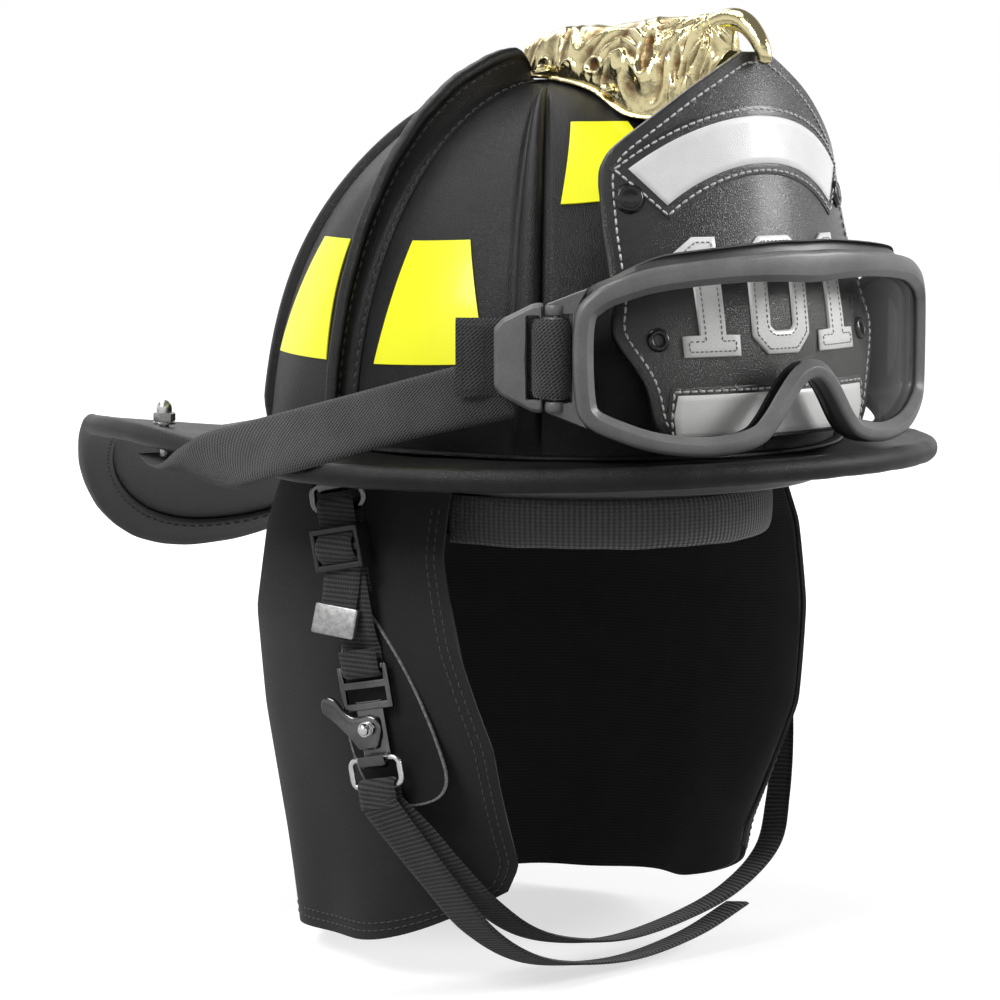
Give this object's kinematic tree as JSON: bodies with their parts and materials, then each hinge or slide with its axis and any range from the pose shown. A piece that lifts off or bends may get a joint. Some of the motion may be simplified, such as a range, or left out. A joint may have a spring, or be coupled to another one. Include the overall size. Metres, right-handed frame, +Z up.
{
  "type": "leather fire helmet",
  "caption": "Leather fire helmet with long tail brim, sewn combs, brass front holder, front shield, goggles, neck curtain and quick-release chin strap.",
  "frame": {"origin": "middle of the head opening, in the plane where the crown meets the brim", "axes": "+Z up through the crown, -Y towards the front shield, +Y towards the tail of the brim, +X to the wearer's left"},
  "size_m": [0.308, 0.4229, 0.3935],
  "materials": {
    "black_leather": "satin, fine grain",
    "shield_leather": "glossy, coarse grain",
    "white_leather": "satin",
    "reflective": "fluorescent lime-yellow, retroreflective",
    "cap_shell": "gloss",
    "foam": "matt rigid foam",
    "webbing": "woven, matt",
    "elastic": "woven, matt",
    "curtain_cloth": "matt woven cloth",
    "knit": "soft knit",
    "black_plastic": "satin",
    "goggle_grey": "satin",
    "face_foam": "soft open-cell foam",
    "lens": "clear polycarbonate",
    "steel": "nickel plated",
    "dark_steel": "black oxide, worn",
    "brass": "polished casting"
  },
  "bodies": {
    "shell": {"crown_gore_front_right": "black_leather", "crown_gore_front_left": "black_leather", "crown_gore_rear_right": "black_leather", "crown_gore_rear_left": "black_leather", "comb_front": "black_leather", "comb_right": "black_leather", "comb_rear": "black_leather", "comb_left": "black_leather", "brim": "black_leather", "brim_edge_wire": "steel", "reflective_trapezoids": "reflective", "impact_cap": "cap_shell", "foam_liner": "foam", "crown_straps": "webbing", "suspension_clips": "black_plastic", "headband": "black_plastic", "brow_pad": "knit", "ratchet_housing": "black_plastic", "neck_curtain": "curtain_cloth", "curtain_lining": "curtain_cloth", "front_shield": "shield_leather", "rocker_panel": "white_leather", "name_panel": "white_leather", "shield_numerals": "white_leather", "shield_snaps": "dark_steel", "shield_eyelets": "dark_steel", "front_holder": "brass", "holder_screws": "brass", "goggle_frame": "goggle_grey", "goggle_lens": "lens", "face_foam": "face_foam", "clip_bracket_right": "goggle_grey", "clip_bracket_left": "goggle_grey", "clip_pins": "steel", "goggle_strap_right": "elastic", "goggle_strap_left": "elastic", "strap_bolts": "steel", "acorn_nuts": "steel", "chin_hanger_right": "steel", "chin_hanger_left": "steel", "chin_ring_right": "steel", "chin_ring_left": "steel", "upper_webbing": "webbing", "webbing_tip": "steel", "hook_frame": "dark_steel", "lever_rivet": "steel", "release_spring": "steel", "hook_ring": "steel", "buckle_pad": "webbing", "chin_webbing": "webbing"},
    "adjuster_knob": {"ratchet_knob": "black_plastic", "ratchet_pinion": "steel"},
    "rack_right": {"ratchet_rack_right": "black_plastic"},
    "rack_left": {"ratchet_rack_left": "black_plastic"},
    "clip_right": {"strap_clip_right": "goggle_grey", "elastic_loop_right": "elastic"},
    "clip_left": {"strap_clip_left": "goggle_grey", "elastic_loop_left": "elastic"},
    "lever": {"release_lever": "dark_steel"},
    "slide": {"slide_buckle": "black_plastic"}
  },
  "joints": [
    {"name": "knob_turn", "type": "hinge", "parent": "shell", "child": "adjuster_knob", "pos_m": [0, 0.033, -0.037], "axis": [0, 1, 0], "range_deg": [-120, 120]},
    {"name": "rack_right_slide", "type": "hinge", "parent": "shell", "child": "rack_right", "pos_m": [0, 0.033, -0.037], "axis": [0, 0, 1], "range_deg": [-9, 9]},
    {"name": "rack_left_slide", "type": "hinge", "parent": "shell", "child": "rack_left", "pos_m": [0, 0.033, -0.037], "axis": [0, 0, 1], "range_deg": [-9, 9]},
    {"name": "clip_right_turn", "type": "hinge", "parent": "shell", "child": "clip_right", "pos_m": [-0.09006, -0.10849, 0.041], "axis": [0, 0, 1], "range_deg": [-10, 10]},
    {"name": "clip_left_turn", "type": "hinge", "parent": "shell", "child": "clip_left", "pos_m": [0.09006, -0.10849, 0.041], "axis": [0, 0, 1], "range_deg": [-10, 10]},
    {"name": "lever_press", "type": "hinge", "parent": "shell", "child": "lever", "pos_m": [-0.11322, -0.02443, -0.10822], "axis": [-0.9272, -0.3746, 0], "range_deg": [0, 30], "stiffness_Nm_per_rad": 0.03, "springref_deg": -17.19},
    {"name": "slide_travel", "type": "slide", "parent": "shell", "child": "slide", "axis": [-0.0715, 0.1769, 0.9816], "range_m": [-0.008, 0]}
  ],
  "couplings": [
    {"joint": "rack_right_slide", "follows": "knob_turn", "ratio": 0.073314},
    {"joint": "rack_left_slide", "follows": "knob_turn", "ratio": -0.071736}
  ]
}
